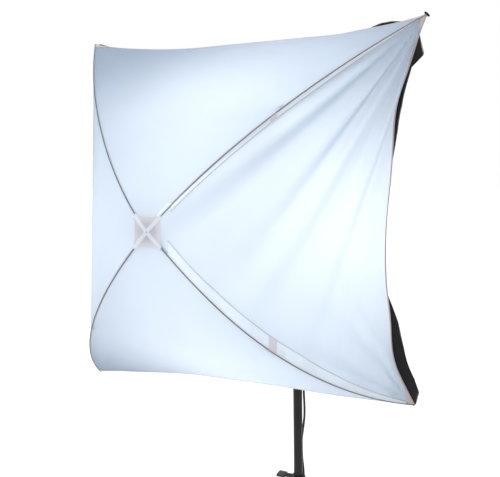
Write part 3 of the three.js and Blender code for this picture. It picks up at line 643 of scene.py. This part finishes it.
# How far the black hem stands out beyond the diffuser's edge, in metres, at places along each gore's edge
# from its first rib. The hem takes up the first share of the cover's way back.
HEM_STATIONS = {
    0: ([0, 0.02, 0.06, 0.9, 0.925, 0.945, 0.965, 1],
        [0, 0.003, 0, 0, 0.006, 0.0055, 0, 0]),
    1: ([0, 0.04, 0.083, 0.11, 0.2, 0.26, 0.34, 0.71, 0.78, 0.85, 0.93, 0.965, 0.99, 1],
        [0, 0, 0.0205, 0.0045, 0.0092, 0.0065, 0, 0, 0.014, 0.0225, 0.026, 0.022, 0.008, 0.001]),
    2: ([0, 0.04, 0.1, 0.9, 0.96, 1], [0, 0.001, 0, 0, 0.001, 0]),
    3: ([0, 0.04, 0.1, 0.9, 0.96, 1], [0, 0.001, 0, 0, 0.001, 0]),
}
HEM_SHARE = 0.08


def hem_width(rib, side, across):
    along = across if side > 0 else 1 - across
    return np.interp(along, *HEM_STATIONS[gore_of(rib, side)[1]])


def rear_point(rib, side, across, back):
    """The rear cover: a hem out from the diffuser's edge, then the wall back to the cuff."""
    rim = cloth_point(rib, side, np.ones_like(across), across)
    neighbour = gore_of(rib, side)[0]
    outward = RIB_SIDES[rib] + RIB_SIDES[neighbour]
    outward = np.array([outward[0], 0, outward[1]]) / np.linalg.norm(outward)
    corner = math.atan2(RIB_SIDES[rib][1], RIB_SIDES[rib][0])
    angle = corner - side * across * math.pi / 2
    width = (HEM_GAP + hem_width(rib, side, across))[..., None]
    hem = rim + outward * width + np.array([0, HEM_SETBACK, 0])
    cuff = np.stack([AXIS_X + CUFF_RADIUS * np.cos(angle), np.full_like(angle, APEX_Y + CUFF_BACK),
                     AXIS_Z + CUFF_RISE + CUFF_RADIUS * np.sin(angle)], axis=-1)
    front = np.clip(back / HEM_SHARE, 0, 1)[..., None]
    rest = np.clip((back - HEM_SHARE) / (1 - HEM_SHARE), 0, 1)
    wall = rest[..., None]
    start = rim + np.array([0, COVER_GAP, 0])
    points = np.where(front < 1, start * (1 - front) + hem * front, hem * (1 - wall) + cuff * wall)
    slack = 0.014 * np.sin(math.pi * rest)
    slack = slack + 0.0025 * np.sin(math.pi * rest) * np.sin(9 * angle + 5 * rest)
    points[..., 1] += slack
    gather = 0.0022 * np.clip((rest - 0.8) / 0.2, 0, 1) * np.sin(22 * angle)
    spread = points - np.array([AXIS_X, 0, AXIS_Z + CUFF_RISE])
    spread[..., 1] = 0
    spread /= np.linalg.norm(spread, axis=-1)[..., None]
    return points + spread * gather[..., None]


def two_layer(name, points, thickness, used, flip=False):
    """Cloth with an outside and a lining: two layers joined at the border."""
    rows, columns = points.shape[0] - 1, points.shape[1] - 1
    normal = np.cross(np.gradient(points, axis=0), np.gradient(points, axis=1))
    normal /= np.linalg.norm(normal, axis=-1)[..., None] + 1e-12
    if normal[rows // 2, :, 1].mean() < 0:
        normal = -normal
    inner = points - normal * thickness
    count = (rows + 1) * (columns + 1)
    faces = grid_faces(rows, columns, 0, flip) + grid_faces(rows, columns, count, not flip)
    indices = [0] * (rows * columns) + [1] * (rows * columns)
    border = [(0, j) for j in range(columns)] + [(i, columns) for i in range(rows)]
    border += [(rows, j) for j in range(columns, 0, -1)] + [(i, 0) for i in range(rows, 0, -1)]
    ring = [i * (columns + 1) + j for i, j in border]
    for a, b in zip(ring, ring[1:] + ring[:1]):
        faces.append((b, a, a + count, b + count) if not flip else (a, b, b + count, a + count))
        indices.append(0)
    layers = np.concatenate([points.reshape(-1, 3), inner.reshape(-1, 3)])
    return mesh_object(name, layers, faces, used, indices=indices)


def make_rear_cover(table):
    steps = np.concatenate([np.linspace(0, HEM_SHARE, 4), np.linspace(HEM_SHARE, 1, 33)[1:]])
    back, across = np.meshgrid(steps, np.linspace(0, 0.5, 101), indexing="ij")
    for rib, name in enumerate(RIB_NAMES):
        for side, label in ((-1, "a"), (1, "b")):
            points = rear_point(rib, side, across, back)
            piece = two_layer(f"rear_cover_{name}_{label}", points, COVER_THICKNESS,
                              [table["black_fabric"], table["lining"]], flip=side > 0)
            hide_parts("rear_cover_" + name)
            follow_fold(piece, rib, side, rear=True)


def make_cuff(table):
    """The gathered elastic round the rear opening."""
    at_cuff = np.array([1.0])
    for rib, name in enumerate(RIB_NAMES):
        path = [rear_point(rib, -1 if a < 0 else 1, np.array([abs(a)]), at_cuff)[0]
                for a in np.linspace(-0.5, 0.5, 90)]
        piece = tube("cuff_elastic_" + name, path, CUFF_TUBE_RADIUS, [table["black_fabric"]], 10)
        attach(piece, "shaft")


def make_piping_and_rib_shade(table):
    """A thin dark cord on each seam: partly the seam itself, partly painted shade that stands for the rib's
    shadow seen through the cloth.
    """
    for rib, name in enumerate(RIB_NAMES):
        share = np.linspace(0.064, 1.0, 90)
        path = seam(rib, share) + np.array([0, -0.0006, 0])
        piece = tube("seam_piping_and_rib_shade_" + name, path, 0.0011, [table["piping_and_painted_shade"]], 8)
        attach(piece, "rib_" + name)


def make_bindings(table):
    """The tape sewn round the diffuser's edge."""
    across = np.linspace(0, 0.5, 70)
    for rib, name in enumerate(RIB_NAMES):
        for side, label in ((-1, "a"), (1, "b")):
            on_right = gore_of(rib, side)[1] == 1
            path = cloth_point(rib, side, np.ones_like(across), across)
            piece = tube(f"rim_binding_{name}_{label}", path, 0.0014 if on_right else 0.0009,
                         [table["binding" if on_right else "pale_binding"]], 8)
            follow_fold(piece, rib, side)


def on_cloth(rib, side, share, offset, lift):
    """A point on the cloth, offset sideways from a seam by a length along the cloth."""
    span = REACH[rib] * math.sqrt(2) * np.clip(share, 1e-3, None)
    across = offset / span
    level = np.minimum(share / (1 - edge_sag(rib, side, across)), 1.0)
    points = cloth_point(rib, side, level, across)
    return points + normals_of(lambda s, a: flat_gore(rib, side, s, a), share, across + 2e-3) * lift


# The sewn facing beside two of the seams: rib, side, width and where it starts along the rib.
FACINGS = [(1, 1, 0.011, 0.12), (2, -1, 0.024, 0.1)]
FACING_STEPS = 89
FACING_PARTS = 6


def make_facings(table):
    for rib, side, width, first in FACINGS:
        name = RIB_NAMES[rib]
        along = np.linspace(first, 0.97, FACING_STEPS + 1)
        taper = width * np.clip((1.03 - along) / 0.4, 0, 1) ** 0.8
        share, part = np.meshgrid(along, np.linspace(0.04, 1, FACING_PARTS + 1), indexing="ij")
        points = on_cloth(rib, side, share, part * taper[:, None], 0.0007)
        faces = grid_faces(FACING_STEPS, FACING_PARTS, flip=side < 0)
        piece = mesh_object("seam_facing_" + name, points.reshape(-1, 3), faces, [table["facing"]])
        follow_fold(piece, rib, side)
        # The grey cord along the facing's edge is painted shade: a soft shade line where the doubled cloth
        # ends, drawn as a dark thread.
        edge = on_cloth(rib, side, along, taper, 0.0009)
        line = tube("facing_shade_line_" + name, edge, 0.0006, [table["facing_shade_line"]], 6)
        follow_fold(line, rib, side)


# Ties that hold the cloth to a rib: rib, side, place along the rib, length along it, width across it.
TIES = [
    (1, 1, 0.497, 0.016, 0.012), (2, -1, 0.535, 0.02, 0.024),
    (3, 1, 0.72, 0.005, 0.004), (0, -1, 0.56, 0.008, 0.008),
]


def make_ties(table):
    for rib, side, place, length, width in TIES:
        half = length / 2 / REACH[rib] / 1.3
        along = np.linspace(place - half, place + half, 7)
        share, offset = np.meshgrid(along, np.linspace(-0.15, 1, 8) * width, indexing="ij")
        points = on_cloth(rib, side, share, np.abs(offset), 0.0016)
        beyond = on_cloth(rib, -side, share, np.abs(offset), 0.0016)
        points = np.where(offset[..., None] < 0, beyond, points)
        used = table["piping_and_painted_shade"] if width < 0.005 else table["patch_fabric"]
        faces = grid_faces(6, 7, flip=side < 0)
        piece = mesh_object("cloth_tie_" + RIB_NAMES[rib], points.reshape(-1, 3), faces, [used])
        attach(piece, "rib_" + RIB_NAMES[rib])


# The tip pocket: places along it from end to end, and its radius there in metres. Only the top right one
# shows at full size.
POCKET_STATIONS = np.array([-1, -0.93, -0.7, -0.3, 0.3, 0.7, 0.93, 1])
POCKET_RADII = np.array([0.0008, 0.0017, 0.0023, 0.0025, 0.0025, 0.0023, 0.0017, 0.0008])
POCKET_HALF_LENGTH = 0.0065
SMALL_POCKET = 0.55


def make_corners(table):
    """A doubled corner of warmer cloth at each tip, and the small pocket on the rib's end."""
    u, v = np.meshgrid(np.linspace(0, 1, 14), np.linspace(0, 1, 14), indexing="ij")
    for rib, name in enumerate(RIB_NAMES):
        for side, label in ((-1, "a"), (1, "b")):
            points = cloth_point(rib, side, 1 - 0.02 * (1 - v) * (1 - u), 0.05 * v)
            points = points + np.array([0, -0.0009, 0])
            piece = mesh_object(f"corner_cloth_{name}_{label}", points.reshape(-1, 3),
                                grid_faces(13, 13, flip=side < 0), [table["corner"]])
            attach(piece, "rib_" + name)
        full = name == "top_right"
        shown = 1.0 if full else SMALL_POCKET
        outward = np.array([RIB_SIDES[rib][0], 0.5, RIB_SIDES[rib][1]])
        outward /= np.linalg.norm(outward)
        middle = seam(rib, 1.0) + outward * (0.0005 if full else -0.001)
        path = [middle + across_of(rib) * POCKET_HALF_LENGTH * shown * at for at in POCKET_STATIONS]
        cap = tube("tip_pocket_" + name, path, POCKET_RADII * shown, [table["black_fabric"]], 12)
        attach(cap, "rib_" + name)


# The centre patch: its reach as a share of the ribs', the lifts of its layers in front of the seams,
# and the half width of its tapes.
PATCH_SHARE = 0.074
PATCH_LIFT = np.array([0, -0.0024, 0])
STITCH_LIFT = np.array([0, -0.0028, 0])
TAPE_LIFT = np.array([0, -0.0031, 0])
TAPE_HALF_WIDTH = 0.0035


def make_centre_patch(table):
    cells = 8
    grid = np.linspace(0, 1, cells + 1)
    points, faces = [], []
    for rib in range(4):
        share, across = np.meshgrid(0.002 + grid * PATCH_SHARE, grid, indexing="ij")
        layer = flat_gore(rib, 1, share, across) + PATCH_LIFT
        faces.extend(grid_faces(cells, cells, len(points)))
        points.extend(layer.reshape(-1, 3))
    piece = mesh_object("centre_patch_cloth", points, faces, [table["patch_fabric"]])
    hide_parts("centre_patch")
    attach(piece, "shaft")


def make_patch_tapes(table):
    """Two tapes crossing on the patch, its stitched border, and the loose end of tape beside it."""
    width = np.linspace(-1, 1, 5) * TAPE_HALF_WIDTH
    share, offset = np.meshgrid(np.linspace(0.002, 0.07, 14), width, indexing="ij")
    for rib, name in enumerate(RIB_NAMES):
        points = seam(rib, share) + offset[..., None] * across_of(rib) + TAPE_LIFT
        tape = mesh_object("patch_tape_" + name, points.reshape(-1, 3), grid_faces(13, 4),
                           [table["facing"]])
        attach(tape, "shaft")
        edge = flat_gore(rib, 1, np.full(40, 0.0725), np.linspace(0.02, 0.98, 40)) + STITCH_LIFT
        stitches = tube("patch_stitching_" + name, edge, 0.0004, [table["thread"]], 6)
        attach(stitches, "shaft")
    share, offset = np.meshgrid(np.linspace(0.07, 0.125, 14), np.linspace(0.001, 0.011, 6),
                                indexing="ij")
    points = on_cloth(1, -1, share, offset, 0.0012)
    tab = mesh_object("tape_end", points.reshape(-1, 3), grid_faces(13, 5, flip=True),
                      [table["facing"]])
    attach(tab, "shaft")


# Hard parts

BEVEL_WIDTH = 0.0006
SHARP_ANGLE = math.radians(40)


def dress_cad_nodes(table):
    """Materials, smooth shading and softened edges for the frame's own parts."""
    slots = {entry["node"]: entry["material_slot"] for entry in frame["record"]["subparts"]}
    for name, node in frame["nodes"].items():
        node.data.materials.clear()
        node.data.materials.append(table[slots[name]])
        node.data.polygons.foreach_set("use_smooth", [True] * len(node.data.polygons))
        bevel = node.modifiers.new("rounded_edges", "BEVEL")
        bevel.width = BEVEL_WIDTH
        bevel.segments = 2
        bevel.limit_method = "ANGLE"
        bevel.angle_limit = SHARP_ANGLE
        bevel.harden_normals = False
        node.data.set_sharp_from_angle(angle=SHARP_ANGLE)


def ring(name, centre, axis, radius, thickness, used, body, ridges=0, height=0.0):
    """A closed moulded ring round an axis, with ridges for grip where asked."""
    axis = np.array(axis, float)
    first = np.cross(axis, [0.31, 0.52, 0.79])
    first /= np.linalg.norm(first)
    second = np.cross(axis, first)
    around, section = 144, 10
    points, faces = [], []
    for i in range(around):
        angle = 2 * math.pi * i / around
        out = math.cos(angle) * first + math.sin(angle) * second
        swell = 0.0006 * math.cos(ridges * angle) if ridges else 0.0
        for j in range(section):
            turn = 2 * math.pi * j / section
            points.append(np.array(centre) + out * (radius + swell + thickness * math.cos(turn))
                          + axis * (height / 2 + thickness) * math.sin(turn))
    for i in range(around):
        for j in range(section):
            a, b = i * section, (i + 1) % around * section
            k = (j + 1) % section
            faces.append((a + j, b + j, b + k, a + k))
    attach(mesh_object(name, points, faces, [used]), body)


def make_hard_details(table):
    """Grip ridges on the two screws, beads on the column's collar, and ribs round the lamp's socket."""
    plastic = table["black_plastic"]
    for node in ("yoke_screw", "umbrella_screw"):
        low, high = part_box(node)
        outer = low.x + 0.006 if node == "yoke_screw" else high.x - 0.006
        centre = (outer, (low.y + high.y) / 2, (low.z + high.z) / 2)
        radius = (high.z - low.z) / 2 - 0.0004
        ring("grip_" + node, centre, (1, 0, 0), radius, 0.0009, plastic, node, 24, 0.006)
    low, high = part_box("column_collar")
    for height in (0.004, (high.z - low.z) - 0.008):
        centre = (COLUMN_X, COLUMN_Y, low.z + height)
        ring(f"collar_bead_{int(height * 1000)}", centre, (0, 0, 1), 0.0199, 0.0008, plastic, "stand")
    low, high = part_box("lamp_socket")
    middle = (low + high) / 2
    radius = (high.x - low.x) / 2
    for step in range(5):
        centre = (middle.x, low.y + 0.03 + 0.011 * step, middle.z)
        ring(f"socket_rib_{step}", centre, (0, 1, 0), radius - 0.0002, 0.001, plastic, "head")


# Stage

def add_light(name, kind, energy, location=(0, 0, 0), direction=None):
    light = bpy.data.objects.new(name, bpy.data.lights.new(name, kind))
    light.data.energy = energy
    light.location = location
    if direction:
        light.rotation_euler = Vector(direction).to_track_quat("-Z", "Y").to_euler()
    SCENE.collection.objects.link(light)
    return light.data


def make_stage():
    world = bpy.data.worlds.new("white_studio")
    world.use_nodes = True
    background = world.node_tree.nodes["Background"]
    background.inputs["Color"].default_value = (1, 1, 1, 1)
    background.inputs["Strength"].default_value = WORLD_STRENGTH
    SCENE.world = world
    SCENE.view_settings.view_transform = "Standard"

    corners = [(-30, -30, 0), (30, -30, 0), (30, 30, 0), (-30, 30, 0)]
    floor = mesh_object("floor", corners, [(0, 1, 2, 3)],
                        [material("pale_floor", (0.92, 0.92, 0.92), 0.6)])

    sun = add_light("daylight", "SUN", SUN_STRENGTH, direction=SUN_DIRECTION)
    sun.angle = math.radians(SUN_ANGLE)
    lamp_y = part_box("bulb_glass")[0].y - LAMP_SETBACK
    bulb = add_light("lamp_light", "POINT", LAMP_GLOW, (AXIS_X, lamp_y, AXIS_Z + GLOW_RISE))
    bulb.shadow_soft_size = GLOW_SOFTNESS
    bulb.color = LAMP_COLOUR
    beam_place = (AXIS_X + BEAM_RIGHT, lamp_y, AXIS_Z + BEAM_RISE)
    beam = add_light("lamp_beam", "AREA", LAMP_BEAM, beam_place, BEAM_DIRECTION)
    beam.shape = "DISK"
    beam.size = BEAM_SIZE
    beam.color = LAMP_COLOUR


make_camera()
MATERIALS = make_materials()
make_leads(MATERIALS)
dress_cad_nodes(MATERIALS)
make_diffuser(MATERIALS)
make_rear_cover(MATERIALS)
make_cuff(MATERIALS)
make_piping_and_rib_shade(MATERIALS)
make_bindings(MATERIALS)
make_facings(MATERIALS)
make_ties(MATERIALS)
make_corners(MATERIALS)
make_centre_patch(MATERIALS)
make_patch_tapes(MATERIALS)
make_hard_details(MATERIALS)
make_stage()
